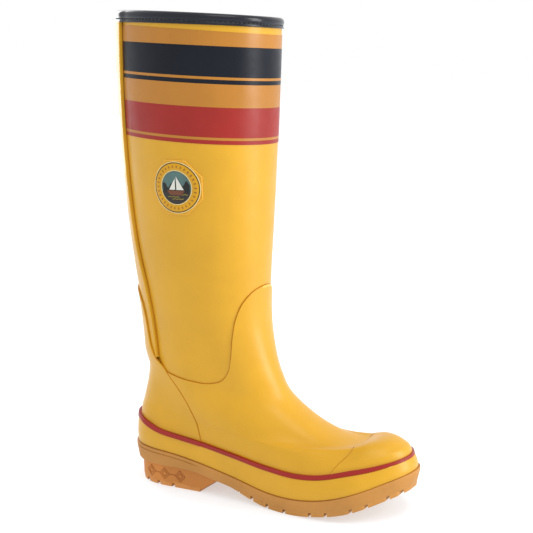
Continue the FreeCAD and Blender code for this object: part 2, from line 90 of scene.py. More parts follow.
# name, upper and lower edge below the rim, material
BANDS = (
    ("band_ochre_upper", 11.6, 24.0, "ochre"),
    ("band_navy_wide", 24.0, 48.0, "navy"),
    ("band_ochre_pin_upper", 48.0, 50.2, "ochre"),
    ("band_navy_thin", 50.2, 53.6, "navy"),
    ("band_ochre_middle", 53.6, 72.0, "ochre"),
    ("band_red_wide", 72.0, 96.0, "red"),
    ("band_ochre_pin_lower", 96.0, 98.2, "ochre"),
    ("band_red_thin", 98.2, 101.4, "red"),
)

# Lines in the side view: the sole's upper edge, its underside, the piping's upper edge, the vamp's
# lap, the heel counter's two edges, the leg's hidden lower edge, the back strip's side and the side
# of the toe cap's rear edge.
SOLE_LINE = (
    (-80, 34.5), (-35, 33.8), (-6, 31.4), (15, 27.8), (44, 22.0), (83, 14.4), (109, 14.0),
    (129, 16.5), (146, 20.8), (165, 27.5), (181, 34.0), (194, 38.5), (210, 43.0),
)
TREAD_LINE = (
    (-80, 19.0), (-20, 19.5), (8, 18.6), (30, 14.2), (45, 11.2), (62, 5.4), (76, 1.6), (90, 0.2),
    (101, 0.0), (113, 0.6), (130, 2.9), (155, 8.6), (166, 12.6), (179, 18.0), (188, 21.4),
    (210, 28.5),
)
PIPING_LINE = (
    (-80, 62.5), (-62, 60.4), (-50, 58.4), (-40, 56.0), (-30, 53.2), (-3, 49.2), (18, 46.8),
    (47, 42.9), (85, 36.6), (108, 34.5), (128, 35.8), (155, 42.2), (191, 51.4), (210, 56.0),
)
VAMP_LINE = (
    (-16.5, 104.6), (-6, 102.6), (10, 100.4), (26, 99.6), (36, 102.4), (41.5, 109.5),
    (44, 122), (45.2, 139), (47.5, 156), (52, 170), (60, 182), (74, 191), (95, 198),
)
COUNTER_TONGUE = (
    (-95, 180), (-62, 177.5), (-50, 172), (-42, 162), (-38, 149), (-32, 126), (-27, 116.5),
    (-16.5, 104.6),
)
COUNTER_LINE = (
    (-16.5, 104.6), (-7.4, 94.5), (4, 78.5), (10.6, 64), (15.6, 47), (20, 28), (22, 5),
)
LEG_EDGE = (
    (-95, 104), (-30, 98), (-10, 93), (16, 90), (34, 91), (46, 99), (52, 115), (54.5, 138),
    (58, 158), (66, 171), (95, 177),
)
STRIP_LINE = (
    (-52, 425), (-52.5, 393), (-54, 327), (-51, 253), (-44, 208), (-35, 176), (-30.5, 150),
    (-27, 126), (-25.5, 108),
)
STRIP_FOOT_Z, STRIP_LINE_FOOT_Z = 116.0, 118.0
TOE_LINE = ((128, 24), (133.5, 31.5), (137.8, 38), (142.3, 44.3), (147.6, 50.4))
CAP_TOP = (     # the toe cap's rear edge over the toe, as angle and section
    (2.414, 3.241), (2.48, 3.38), (2.546, 3.515), (2.62, 3.64), (2.75, 3.78), (2.92, 3.88),
    (3.142, 3.93),
)
COUNTER_RISE = (5.66, 6.33)     # sections between which the counter climbs over the back strip
TONGUE_CORNER = 3         # point where the tongue's end turns into its side

# Sections of the boot: share of the sole's height, height at the back, height at the front, rise
# at the middle, back X, front X, back radius, front radius, outer and inner half widths at
# WIDTH_AT of the length, sideways place of the back and of the front.
WIDTH_AT = (0.2, 0.45, 0.7, 0.88)
FOOT_SECTIONS = (
    (0.0, (1, 0, 0, 0, -61.5, 191.5, 34, 32, (34, 37, 46.5, 41), (34, 30, 45, 42), 0, 9)),
    (1.0, (1, 9, 5, 0, -62, 190.6, 34, 32, (34.5, 37.5, 46.5, 41), (34.5, 31, 45, 42), 0, 9)),
    (2.0, (1, 18.5, 11, 1, -61.5, 188.2, 33, 30, (34, 38, 45, 39), (34, 32, 44, 40), 0, 9)),
    (3.0, (.8, 30, 28.0, 2, -60.5, 182.3, 31, 27, (32.5, 39, 41, 33), (32.5, 36, 38, 31), 0, 8)),
    (3.6, (.64, 45, 40.8, 2, -59, 167, 29, 23, (31.5, 38.5, 38, 27), (31.5, 36.5, 34, 24), 0, 7)),
    (4.0, (.5, 55, 43.6, 3, -57.5, 146, 28, 20, (31, 38.5, 35.5, 24), (31, 37, 33, 24), 0, 6)),
    (4.5, (.35, 69, 56.5, 4, -55, 117, 28, 18, (31, 38.5, 33.5, 23), (31, 37.5, 31, 22), 0, 4)),
    (5.0, (.2, 84, 74, 5, -52.5, 91, 28, 18, (31, 39, 33, 23), (31, 39, 32, 22), 0, 3)),
    (6.0, (0, 112, 104, 4, -50.5, 71, 30, 22, (33, 41, 35, 25), (33, 41, 35, 25), 0, 1)),
)
LEG_SECTIONS = (
    (7.0, (150, 144, -54.3, 60.5, 43, .08)),
    (8.0, (190, 185, -61, 59.5, 47, .10)),
    (9.0, (240, 234, -68, 61.5, 51.5, .12)),
    (10.0, (310, 303, -73.2, 64, 57, .13)),
    (11.0, (370, 362, -75.7, 66, 59.5, .13)),
    (12.0, (409, 401.2, -76, 67, 60, .13)),
    (13.0, (425, 417.2, -76.2, 67.2, 60.2, .13)),
)


# ---------------- the boot's surface
def smooth(xs, rows, x):
    """Cubic interpolation of rows of numbers over xs, at every x."""
    xs, rows, x = np.asarray(xs, float), np.asarray(rows, float), np.asarray(x, float)
    step = np.diff(xs)
    rise = np.diff(rows, axis=0) / step[:, None]
    before, after = step[:-1, None], step[1:, None]
    inner = (rise[:-1] * after + rise[1:] * before) / (before + after)
    slope = np.vstack([rise[:1], inner, rise[-1:]])
    i = np.clip(np.searchsorted(xs, x, side="right") - 1, 0, len(xs) - 2)
    h = step[i][..., None]
    t = (x - xs[i])[..., None] / h
    return ((2 * t**3 - 3 * t**2 + 1) * rows[i] + (t**3 - 2 * t**2 + t) * h * slope[i]
            + (3 * t**2 - 2 * t**3) * rows[i + 1] + (t**3 - t**2) * h * slope[i + 1])


def height_on(line, x):
    xs = [p[0] for p in line]
    return smooth(xs, [[p[1]] for p in line], np.clip(x, xs[0], xs[-1]))[..., 0]


def ease(t):
    t = np.clip(t, 0, 1)
    return t * t * (3 - 2 * t)


def section_row(share, back_z, front_z, rise, back_x, front_x, back_r, front_r,
                outer, inner, back_y, front_y):
    length = front_x - back_x
    row = [share, back_z, front_z, rise, back_x, front_x, back_y, front_y]
    for widths in (outer, inner):
        row.append(math.sqrt(2 * length * back_r))
        row += [w / math.sqrt(f * (1 - f)) for w, f in zip(widths, WIDTH_AT)]
        row.append(math.sqrt(2 * length * front_r))
    return row


def leg_row(back_z, front_z, back_x, front_x, half_width, narrowing):
    radius = half_width**2 / ((front_x - back_x) / 2)
    widths = [half_width * 2 * math.sqrt(f * (1 - f)) * (1 - narrowing * (1 - 2 * f))
              for f in WIDTH_AT]
    return section_row(0, back_z, front_z, 0, back_x, front_x, radius * (1 - narrowing)**2,
                       radius * (1 + narrowing)**2, widths, widths, 0, 0)


SECTION_U = [s[0] for s in FOOT_SECTIONS + LEG_SECTIONS]
SECTION_ROWS = ([section_row(*s[1]) for s in FOOT_SECTIONS]
                + [leg_row(*s[1]) for s in LEG_SECTIONS])
FULLNESS_AT = (0.0,) + WIDTH_AT + (1.0,)
TOP_U = SECTION_U[-1]
U_STEPS = np.linspace(0, TOP_U, 651)


def side_view(row, along):
    """x and z of points of sections, along their length from the back."""
    x = row[..., 4] + (row[..., 5] - row[..., 4]) * along
    z = row[..., 1] + (row[..., 2] - row[..., 1]) * along + row[..., 3] * 4 * along * (1 - along)
    return x, z + row[..., 0] * height_on(SOLE_LINE, x)


def last(angle, u):
    """Points of the boot's surface: angle 0 at the back, half a turn at the front, outer side
    first; u counts the sections from the sole up."""
    angle = np.asarray(angle, float)
    row = smooth(SECTION_U, SECTION_ROWS, u)
    along = (1 - np.cos(angle)) / 2
    side = np.sin(angle)
    share_of = smooth(FULLNESS_AT, np.eye(len(FULLNESS_AT)), along)
    outer = (row[..., 8:14] * share_of).sum(-1)
    inner = (row[..., 14:20] * share_of).sum(-1)
    x, z = side_view(row, along)
    y = -np.where(side >= 0, outer, inner) * side / 2
    y = y + row[..., 6] + (row[..., 7] - row[..., 6]) * along**2 * (3 - 2 * along)
    return np.stack(np.broadcast_arrays(x, y, z), -1)


def normals(angle, u):
    d = 0.01
    along = last(angle + d, u) - last(angle - d, u)
    up = last(angle, np.minimum(u + d, TOP_U)) - last(angle, np.maximum(u - d, 0))
    n = np.cross(along, up)
    return n / np.linalg.norm(n, axis=-1, keepdims=True)


def surface(angle, u, offset=0.0):
    offset = np.asarray(offset, float)
    return last(angle, u) + normals(angle, u) * offset[..., None]


def outline(angle, offset):
    """Plan outline of the sole moved out by offset, as x and y."""
    d = 0.01
    p = last(angle, 0.0)
    t = last(angle + d, 0.0) - last(angle - d, 0.0)
    size = np.hypot(t[..., 0], t[..., 1])
    return p[..., 0] + t[..., 1] / size * offset, p[..., 1] - t[..., 0] / size * offset


# ---------------- lines on the surface
def locate(x, z):
    """The angle and u of side-view points on the outer side; NaN where the boot isn't there."""
    row = smooth(SECTION_U, SECTION_ROWS, U_STEPS)
    along = (x[:, None] - row[:, 4]) / (row[:, 5] - row[:, 4])
    gap = side_view(row, along)[1] - z[:, None]
    gap = np.where((along >= 0) & (along <= 1), gap, np.nan)
    crosses = (gap[:, :-1] <= 0) & (gap[:, 1:] > 0)
    i = crosses.argmax(1)
    k = np.arange(len(x))
    t = -gap[k, i] / (gap[k, i + 1] - gap[k, i])
    a = along[k, i] + (along[k, i + 1] - along[k, i]) * t
    angle = np.arccos(1 - 2 * np.clip(a, 0, 1))
    u = U_STEPS[i] + (U_STEPS[i + 1] - U_STEPS[i]) * t
    return np.where(crosses.any(1), angle, np.nan), np.where(crosses.any(1), u, np.nan)


def on_surface(line):
    """A side-view line as angle and u, where it lies on the boot."""
    points = np.array(line, float)
    chord = np.concatenate([[0], np.cumsum(np.hypot(*np.diff(points, axis=0).T))])
    points = smooth(chord, points, np.linspace(0, chord[-1], 300))
    angle, u = locate(points[:, 0], points[:, 1])
    kept = ~np.isnan(angle)
    return angle[kept], u[kept]


def fold(angle):
    """The outer side's angle that mirrors any angle."""
    return np.pi - np.abs(np.pi - np.mod(angle, TURN))


def by_angle(line):
    angle, u = on_surface(line)
    order = np.argsort(angle)
    return lambda a: np.interp(fold(a), angle[order], u[order])


def by_u(line):
    angle, u = on_surface(line)
    order = np.argsort(u)
    return lambda v: np.interp(v, u[order], angle[order])


def level(height):
    """The u at which each angle reaches z = height(x)."""
    angles = np.linspace(0, np.pi, 361)
    along = (1 - np.cos(angles[:, None])) / 2
    x, z = side_view(smooth(SECTION_U, SECTION_ROWS, U_STEPS)[None], along)
    gap = z - height(x)
    i = np.maximum((gap > 0).argmax(1), 1)
    k = np.arange(len(angles))
    t = -gap[k, i - 1] / (gap[k, i] - gap[k, i - 1])
    u = U_STEPS[i - 1] + (U_STEPS[i] - U_STEPS[i - 1]) * np.clip(t, 0, 1)
    return lambda a: np.interp(fold(a), angles, u)


def below_rim(depth, front_depth=None):
    """The u of a level below the rim, which may slope from its back to its front."""
    slope = 0 if front_depth is None else (front_depth - depth) / RIM_LENGTH
    return level(lambda x: RIM_BACK_Z - depth - (RIM_SLOPE + slope) * (x - RIM_BACK_X))


def patch(left, right, bottom, top, columns, rows):
    """Angle and u of a grid between two lines over u and two lines over the angle."""
    s = np.linspace(0, 1, columns + 1)[:, None]
    t = np.linspace(0, 1, rows + 1)[None, :]
    u = np.full((columns + 1, rows + 1), 3.0) + t
    for _ in range(30):
        angle = left(u) + (right(u) - left(u)) * s
        u = (u + bottom(angle) + (top(angle) - bottom(angle)) * t) / 2
    return angle, u


def ring_grid(bottom, top, columns, rows):
    angle = np.linspace(0, TURN, columns, endpoint=False)[:, None] + np.zeros((1, rows + 1))
    t = np.linspace(0, 1, rows + 1)[None, :]
    return angle, bottom(angle) + (top(angle) - bottom(angle)) * t


# ---------------- meshes
TUBE_SIDES = 8


def make_object(name, points, faces):
    """A smooth mesh object from millimetre points in design axes."""
    mesh = bpy.data.meshes.new(name)
    moved = (np.asarray(points, float) + np.array([LEG_AXIS_X, 0, 0])) / 1000
    mesh.from_pydata(moved.tolist(), [], [tuple(int(i) for i in f) for f in faces])
    build = bmesh.new()
    build.from_mesh(mesh)
    bmesh.ops.recalc_face_normals(build, faces=build.faces)
    build.to_mesh(mesh)
    build.free()
    mesh.shade_smooth()
    obj = bpy.data.objects.new(name, mesh)
    bpy.context.scene.collection.objects.link(obj)
    return obj


def add_bevel(obj, width):
    bevel = obj.modifiers.new("soft_edges", "BEVEL")
    bevel.width = width / 1000
    bevel.segments = 3
    bevel.limit_method = "ANGLE"
    bevel.angle_limit = math.radians(40)
    bevel.harden_normals = True
    return obj


def quads(columns, rows, closed=False, wrapped=False, start=0):
    """Faces of a grid of columns x rows vertices; closed joins the last column to the first and
    wrapped the last row to the first."""
    faces = []
    for i in range(columns if closed else columns - 1):
        a, b = start + i * rows, start + (i + 1) % columns * rows
        for k in range(rows if wrapped else rows - 1):
            m = (k + 1) % rows
            faces.append((a + k, b + k, b + m, a + m))
    return faces


def closed_skin(high, low, closed=False):
    """Points and faces of the closed piece between two grids of points."""
    columns, rows = high.shape[:2]
    size = columns * rows
    faces = quads(columns, rows, closed) + quads(columns, rows, closed, start=size)
    border = []
    for i in range(columns if closed else columns - 1):
        j = (i + 1) % columns
        border.append((i * rows, j * rows))
        border.append((i * rows + rows - 1, j * rows + rows - 1))
    if not closed:
        last_column = (columns - 1) * rows
        for k in range(rows - 1):
            border.append((k, k + 1))
            border.append((last_column + k, last_column + k + 1))
    faces += [(a, b, b + size, a + size) for a, b in border]
    return np.vstack([high.reshape(-1, 3), low.reshape(-1, 3)]), faces


def spread(offset, angle, u):
    return np.broadcast_to(offset(angle, u) if callable(offset) else offset, u.shape)


def shell(name, grid, inner, outer, closed=False, bevel=0.5):
    """Closed piece between two offsets of the boot's surface, over a grid of angle and u."""
    angle, u = grid
    high = surface(angle, u, spread(outer, angle, u))
    low = surface(angle, u, spread(inner, angle, u))
    return add_bevel(make_object(name, *closed_skin(high, low, closed)), bevel)


def ring_loft(name, rings):
    """Closed ring through a closed row of rings of points."""
    grid = np.stack(list(rings), 1)
    return make_object(name, grid.reshape(-1, 3), quads(*grid.shape[:2], True, True))


def tube(path, radius, closed=False):
    """Points and faces of a round bead along a path."""
    path = np.asarray(path, float)
    tangent = (np.roll(path, -1, 0) - np.roll(path, 1, 0)) if closed else np.gradient(path, axis=0)
    tangent /= np.linalg.norm(tangent, axis=1, keepdims=True)
    side = np.cross(tangent, [0.0, 0.0, 1.0])
    steep = np.linalg.norm(side, axis=1) < 0.2
    side[steep] = np.cross(tangent[steep], [0.0, 1.0, 0.0])
    side /= np.linalg.norm(side, axis=1, keepdims=True)
    up = np.cross(side, tangent)
    turn = np.linspace(0, TURN, TUBE_SIDES, endpoint=False)[None, :, None]
    radius = np.broadcast_to(radius, (len(path),))[:, None, None]
    rings = path[:, None] + radius * (side[:, None] * np.cos(turn) + up[:, None] * np.sin(turn))
    faces = quads(len(path), TUBE_SIDES, closed, True)
    if not closed:
        last_ring = (len(path) - 1) * TUBE_SIDES
        faces += [tuple(range(TUBE_SIDES)), tuple(last_ring + k for k in range(TUBE_SIDES))]
    return rings.reshape(-1, 3), faces


def along_line(angle, u, offset, radius, closed=False):
    """Round bead along the boot's surface."""
    return tube(surface(angle, u, offset), radius, closed)


def rod(start, end, radius):
    """Round-ended rod between two points."""
    start, end = np.asarray(start, float), np.asarray(end, float)
    length = np.linalg.norm(end - start)
    cap = min(radius / length, 0.4)
    steps = np.array([0, .3, .7, 1]) * cap
    along = np.concatenate([steps, 1 - steps[::-1]])
    size = radius * np.array([.3, .72, .93, 1, 1, .93, .72, .3])
    return tube(start + (end - start) * along[:, None], size)


def joined(parts):
    """One list of points and faces from several."""
    points, faces, start = [], [], 0
    for p, f in parts:
        points.append(np.asarray(p, float))
        faces += [tuple(i + start for i in face) for face in f]
        start += len(p)
    return np.vstack(points), faces


def block(rows, across=12):
    """Closed solid from rows, top to bottom; each runs round the back from the outer front corner
    to the inner one, and the points i and n - i are joined across."""
    rows = np.asarray(rows, float)
    levels, size = rows.shape[:2]
    half = (size - 1) // 2
    t = np.linspace(0, 1, across + 1)[1:-1, None]
    loops = [np.vstack([row, row[-1] + (row[0] - row[-1]) * t]) for row in rows]
    loop = len(loops[0])
    points = list(np.vstack(loops))
    faces = quads(levels, loop, False, True)
    for k in (0, levels - 1):
        previous = [k * loop] + [k * loop + loop - 1 - j for j in range(across - 1)]
        previous.append(k * loop + size - 1)
        for i in range(1, half):
            a, b = rows[k][i], rows[k][size - 1 - i]
            current = [k * loop + i]
            for s in t[:, 0]:
                current.append(len(points))
                points.append(a + (b - a) * s)
            current.append(k * loop + size - 1 - i)
            faces += [(previous[j], previous[j + 1], current[j + 1], current[j])
                      for j in range(across)]
            previous = current
        tip = k * loop + half
        faces += [(previous[j], previous[j + 1], tip) for j in range(across)]
    return np.array(points), faces


# ---------------- materials
class Finish:
    """A procedural material in the making."""

    def __init__(self, name):
        self.material = bpy.data.materials.new(name)
        self.material.use_nodes = True
        self.nodes, self.links = self.material.node_tree.nodes, self.material.node_tree.links
        self.here = self.add("TexCoord", {}, "Object")

    def put(self, sockets, values):
        """Set or link sockets from numbers, colours and other nodes' outputs."""
        for key, value in values.items():
            if isinstance(value, bpy.types.NodeSocket):
                self.links.new(value, sockets[key])
            else:
                sockets[key].default_value = value

    def add(self, kind, values, output, **settings):
        """An output of a new node."""
        node = self.nodes.new("ShaderNode" + kind)
        for name, value in settings.items():
            setattr(node, name, value)
        self.put(node.inputs, values)
        return node.outputs[output]

    def mix(self, factor, first, second):
        return self.add("Mix", {0: factor, 6: first, 7: second}, 2, data_type="RGBA")

    def ramp(self, value, low, high, out_low=0.0, out_high=1.0):
        values = dict(enumerate((value, low, high, out_low, out_high)))
        return self.add("MapRange", values, 0, interpolation_type="SMOOTHSTEP")

    def noise(self, scale, detail, rough=0.5, vector=None):
        return self.add("TexNoise", {"Vector": self.here if vector is None else vector,
                                     "Scale": scale, "Detail": detail, "Roughness": rough}, "Fac")

    def bump(self, height, distance, **under):
        return self.add("Bump", {"Height": height, "Distance": distance, **under}, "Normal")

    def done(self, values):
        self.put(self.nodes["Principled BSDF"].inputs, values)
        return self.material


def colour(r, g, b):
    """Linear colour from display values."""
    def linear(c):
        c = c / 255
        return c / 12.92 if c <= 0.04045 else ((c + 0.055) / 1.055)**2.4
    return (linear(r), linear(g), linear(b), 1.0)


def darker(c, share):
    return (c[0] * share, c[1] * share, c[2] * share, 1.0)


def rubber(name, shown, rough, coat=0.0, grain=0.00003, shade=0.8, gloss_level=0.22, worn_and_lit=None):
    """Moulded or laid-up rubber: cloudy colour, uneven gloss, fine skin and slow waviness."""
    new, base = Finish(name), colour(*shown)
    tone = new.mix(new.ramp(new.noise(22, 4, 0.55), 0.36, 0.66), darker(base, shade), base)
    specks = new.ramp(new.noise(700, 2, 0.6), 0.62, 0.78, 0.0, 0.35)
    tone = new.mix(specks, tone, darker(base, 0.72))
    # Sharp convex edges take a lighter colour: partly edge wear, partly painted highlight.
    if worn_and_lit is not None:
        edges = new.ramp(new.add("NewGeometry", {}, "Pointiness"), 0.52, 0.60, 0.0, 0.55)
        tone = new.mix(edges, tone, colour(*worn_and_lit))
    waves = new.bump(new.noise(30, 2, 0.4), 0.0009)
    return new.done({
        "Base Color": tone, "Roughness": new.ramp(new.noise(60, 3, 0.6), 0.3, 0.7, *rough),
        "Coat Weight": coat, "Coat Roughness": 0.22, "IOR": 1.5,
        "Specular IOR Level": gloss_level,
        "Normal": new.bump(new.noise(1100, 2, 0.6), grain, Normal=waves),
    })


def cloth(name, shown, threads=900.0, depth=0.00012):
    """Knitted or woven cloth of crossing threads, so many to the metre."""
    new, base = Finish(name), colour(*shown)
    waves = [new.add("TexWave", {"Vector": new.here, "Scale": threads / TURN, "Distortion": 1.2,
                                 "Detail": 1.0}, "Fac", bands_direction=way)
             for way in ("X", "Z")]
    weave = new.add("Math", dict(enumerate(waves)), 0, operation="MULTIPLY")
    tone = new.mix(weave, darker(base, 0.62), base)
    tone = new.mix(new.ramp(new.noise(40, 4, 0.6), 0.35, 0.7, 0.0, 0.3), tone, darker(base, 0.7))
    return new.done({"Base Color": tone, "Roughness": 0.9, "Sheen Weight": 0.35,
                     "Sheen Roughness": 0.5, "Normal": new.bump(weave, depth)})


def steel(name):
    """Rolled strip, brushed along its length."""
    new = Finish(name)
    along = new.add("Mapping", {"Vector": new.here, "Scale": (4, 300, 300)}, "Vector")
    lines = new.noise(8, 3, 0.6, along)
    return new.done({
        "Base Color": new.mix(lines, (0.3, 0.31, 0.33, 1), (0.55, 0.56, 0.58, 1)),
        "Metallic": 1.0, "Roughness": new.ramp(lines, 0.2, 0.8, 0.25, 0.45),
        "Normal": new.bump(lines, 0.00002),
    })


# Display colour and range of roughness, then what differs from the defaults of rubber.
RUBBERS = {
    "yellow_rubber": ((206, 153, 27), (0.34, 0.44), dict(coat=0.08, shade=0.94, gloss_level=0.32,
                                                         worn_and_lit=(244, 205, 104))),
    "navy_rubber": ((22, 25, 34), (0.3, 0.4), dict(gloss_level=0.15, worn_and_lit=(50, 56, 72))),
    "navy_tape": ((22, 25, 34), (0.18, 0.26), dict(gloss_level=0.3)),
    "ochre_rubber": ((175, 114, 30), (0.34, 0.44), dict(coat=0.08, shade=0.92, gloss_level=0.34)),
    "red_rubber": ((149, 27, 16), (0.36, 0.48), dict(coat=0.06, shade=0.9, gloss_level=0.3)),
    "gum_rubber": ((186, 130, 64), (0.5, 0.66), dict(grain=0.00006, shade=0.88,
                                                     worn_and_lit=(224, 176, 116))),
    "heel_rubber": ((196, 126, 58), (0.48, 0.62), dict(grain=0.00006, shade=0.85,
                                                       worn_and_lit=(208, 146, 84))),
    "heel_pattern_shade": ((166, 98, 44), (0.5, 0.62), dict(shade=0.85)),
    # cement lines darkened with painted shade where pieces lap over one another
    "amber_cement_and_shade": ((186, 112, 10), (0.4, 0.55), {}),
    "brown_gap_shade": ((146, 88, 26), (0.45, 0.6), {}),
    # painted shade for the groove beside the back strip and for the toe cap's creases
    "dark_groove_shade": ((112, 62, 22), (0.4, 0.55), {}),
    "badge_clear": ((216, 158, 40), (0.22, 0.32), dict(coat=0.1, grain=0.00001, shade=0.95,
                                                       worn_and_lit=(232, 180, 80))),
    "filler_rubber": ((92, 86, 78), (0.7, 0.85), dict(grain=0.0001, shade=0.86)),
}
GLOSSY, SATIN = (0.25, 0.36), (0.3, 0.4)
PRINTS = {      # display colour, gloss and the shade of its clouds
    "badge_navy": ((38, 36, 38), GLOSSY, 0.75), "badge_gold": ((204, 148, 14), GLOSSY, 0.9),
    "badge_cream": ((222, 198, 138), GLOSSY, 0.93), "badge_red": ((112, 66, 44), GLOSSY, 0.85),
    "badge_teal": ((92, 122, 118), GLOSSY, 0.6), "badge_dark": ((52, 46, 40), SATIN, 0.8),
    "badge_mark": ((150, 98, 34), SATIN, 0.8), "badge_night": ((34, 34, 32), SATIN, 0.7),
    "badge_olive": ((150, 132, 52), SATIN, 0.7), "badge_white": ((214, 212, 200), SATIN, 0.9),
}
CLOTHS = {      # display colour, threads to the metre and their depth
    "cotton_lining": ((214, 205, 186),), "black_thread": ((30, 30, 34), 4000.0, 0.00008),
    "fibreboard": ((150, 116, 84), 300.0, 0.00005),
    "footbed_foam": ((70, 76, 90), 1100.0, 0.00015),
}
FINISH = {name: rubber(name, shown, rough, **rest)
          for name, (shown, rough, rest) in RUBBERS.items()}
FINISH |= {name: rubber(name, shown, rough, 0.1, 0.00001, shade)
           for name, (shown, rough, shade) in PRINTS.items()}
FINISH |= {name: cloth(name, *row) for name, row in CLOTHS.items()}
FINISH["spring_steel"] = steel("spring_steel")


def place(obj, finish, body, *nodes):
    """Give a piece its material, hang it on the body it follows (pieces across the ankle are only
    baked where they stand) and hide the nodes it stands for.
    """
    obj.data.materials.clear()
    obj.data.materials.append(FINISH[finish])
    if body == "ankle":
        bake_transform(obj)
    else:
        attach(obj, body)
    if nodes:
        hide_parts(*nodes)


def place_joined(name, parts, finish, body, *nodes):
    place(make_object(name, *joined(parts)), finish, body, *nodes)


# ---------------- regions of the boot
leg_edge = by_angle(LEG_EDGE)
vamp_top = by_angle(VAMP_LINE)
counter_side = by_u(COUNTER_LINE)
strip_side = by_u(STRIP_LINE)
tongue_side = by_u(COUNTER_TONGUE[TONGUE_CORNER:])
tongue_top = by_angle(COUNTER_TONGUE[:TONGUE_CORNER + 1])
join_angle, join_u = (float(v[0]) for v in on_surface(COUNTER_LINE))
piping_top = level(lambda x: height_on(PIPING_LINE, x))
piping_foot = level(lambda x: height_on(PIPING_LINE, x) - PIPING_HEIGHT)
cap_side = by_u(TOE_LINE)
cap_bottom = level(lambda x: height_on(PIPING_LINE, x) - PIPING_HEIGHT - 0.6)
cap_angles, cap_us = on_surface(TOE_LINE)
cap_corner_u = float(cap_us[-1])
cap_start_u = float(cap_us[np.argmax(cap_us > piping_top(cap_angles))])
tongue_corner_u = float(on_surface(COUNTER_TONGUE[TONGUE_CORNER:])[1].max())


def over_strip(angle, u, reach=0.16):
    """1 over the back strip, easing to 0 beside it."""
    return 1 - ease((fold(angle) - strip_side(u)) / reach)


def cap_top(angle):
    return height_on(CAP_TOP, fold(angle))


def cap_left(u):
    return cap_side(np.minimum(u, cap_corner_u))


def counter_right(u):
    return np.where(u < join_u, counter_side(u), tongue_side(u))


def lap(outside, inside, reach=0.12):
    """Inner offset of a piece that laps the leg above its lower edge."""
    return lambda angle, u: inside + (outside - inside) * ease((u - leg_edge(angle)) / reach + 1)


def side_y(x, offset, inner=False):
    """y of the sole's outline, moved out by offset, at each x."""
    angle = np.linspace(0.02, np.pi - 0.02, 400)
    px, py = outline(-angle if inner else angle, offset)
    order = np.argsort(px)
    return np.interp(x, px[order], py[order])


def spokes(count):
    """Unit vectors round the badge."""
    t = np.linspace(0, TURN, count, endpoint=False)
    return np.stack([np.cos(t), np.sin(t)], -1)


def octagon(apothem, count=96):
    t = np.linspace(0, TURN, count, endpoint=False)
    to_face = np.mod(t + np.pi / 8, np.pi / 4) - np.pi / 8
    return spokes(count) * (apothem / np.cos(to_face))[:, None]


def on_badge(points, offset):
    """Points about the badge's centre, laid on the outer side of the leg."""
    points = np.asarray(points, float)
    flat = points.reshape(-1, 2)
    angle, u = locate(BADGE_CENTRE[0] + flat[:, 0], BADGE_CENTRE[1] + flat[:, 1])
    return surface(angle, u, np.broadcast_to(offset, u.shape)).reshape(points.shape[:-1] + (3,))


def disc(outline_points, profile, base):
    """Round piece on the badge: profile is (inset from the outline, height) towards the middle."""
    reach = np.linalg.norm(outline_points, axis=1, keepdims=True)
    rings = [on_badge(outline_points * (1 - inset / reach), height) for inset, height in profile]
    inner = outline_points * (1 - profile[-1][0] / reach)
    for share in (0.8, 0.6, 0.4, 0.2):
        rings.append(on_badge(inner * share, profile[-1][1]))
    below = [on_badge(outline_points * share, base) for share in (1.0, 0.75, 0.5, 0.25)]
    grid = np.stack(below[::-1] + rings, 1)
    columns, rows = grid.shape[:2]
    points = [*grid.reshape(-1, 3), *on_badge([[0, 0], [0, 0]], [base, profile[-1][1]])]
    faces = quads(columns, rows, True)
    for i in range(columns):
        j = (i + 1) % columns
        faces.append((i * rows, j * rows, columns * rows))
        faces.append((i * rows + rows - 1, j * rows + rows - 1, columns * rows + 1))
    return np.array(points), faces


def hoop(name, outer, inner, high, soft=0.25):
    """Ring on the badge between two radii."""
    sections = ((outer, BADGE_SEAT), (outer, high - soft), (outer - soft, high),
                (inner + soft, high), (inner, high - soft), (inner, BADGE_SEAT))
    return ring_loft(name, [on_badge(spokes(120) * r, h) for r, h in sections])


def figure(foot, head, start, end, low, high, rows=12, columns=26):
    """Thin figure on the badge between two lines, each z as a function of x."""
    x = np.linspace(start, end, columns + 1)[:, None]
    t = np.linspace(0, 1, rows + 1)[None, :]
    z = foot(x) + (head(x) - foot(x)) * t
    flat = np.stack(np.broadcast_arrays(x, z), -1)
    return closed_skin(on_badge(flat, high), on_badge(flat, low))


# ---------------- leg
ROUND = 168


def strip_lift(angle, u):
    return BACK_STRIP * over_strip(angle, u)


def make_leg():
    leg = shell("leg_rubber", ring_grid(leg_edge, below_rim(0.05), ROUND, 130), -RUBBER, 0.0, True)
    place(leg, "yellow_rubber", "ankle", "leg_shell")
    cloth_grid = ring_grid(leg_edge, below_rim(0.05), ROUND, 110)
    lining = shell("leg_textile", cloth_grid, -RUBBER - LINING, -RUBBER - 0.05, True, 0.3)
    place(lining, "cotton_lining", "ankle", "leg_lining")
    foot_z = level(lambda x: STRIP_FOOT_Z)
    top = below_rim(BINDING_DEPTH - 1)
    grid = patch(lambda u: -strip_side(u), strip_side, foot_z, top, 26, 150)
    strip = shell("back_strip_rubber", grid, 0.02, BACK_STRIP, bevel=0.9)
    place(strip, "yellow_rubber", "ankle", "back_strip")
    for name, upper, lower, finish in BANDS:
        top = below_rim(*FIRST_BAND_TOP) if name == BANDS[0][0] else below_rim(upper)
        rows = max(3, int((lower - upper) / 1.6))
        grid = patch(strip_side, lambda u: TURN - strip_side(u), below_rim(lower), top, 150, rows)
        band = shell("stripe" + name[4:], grid, 0.02, BAND, bevel=0.14)
        place(band, finish + "_rubber", "leg", name)
    make_binding()
    make_strip_shade()
    make_badge()


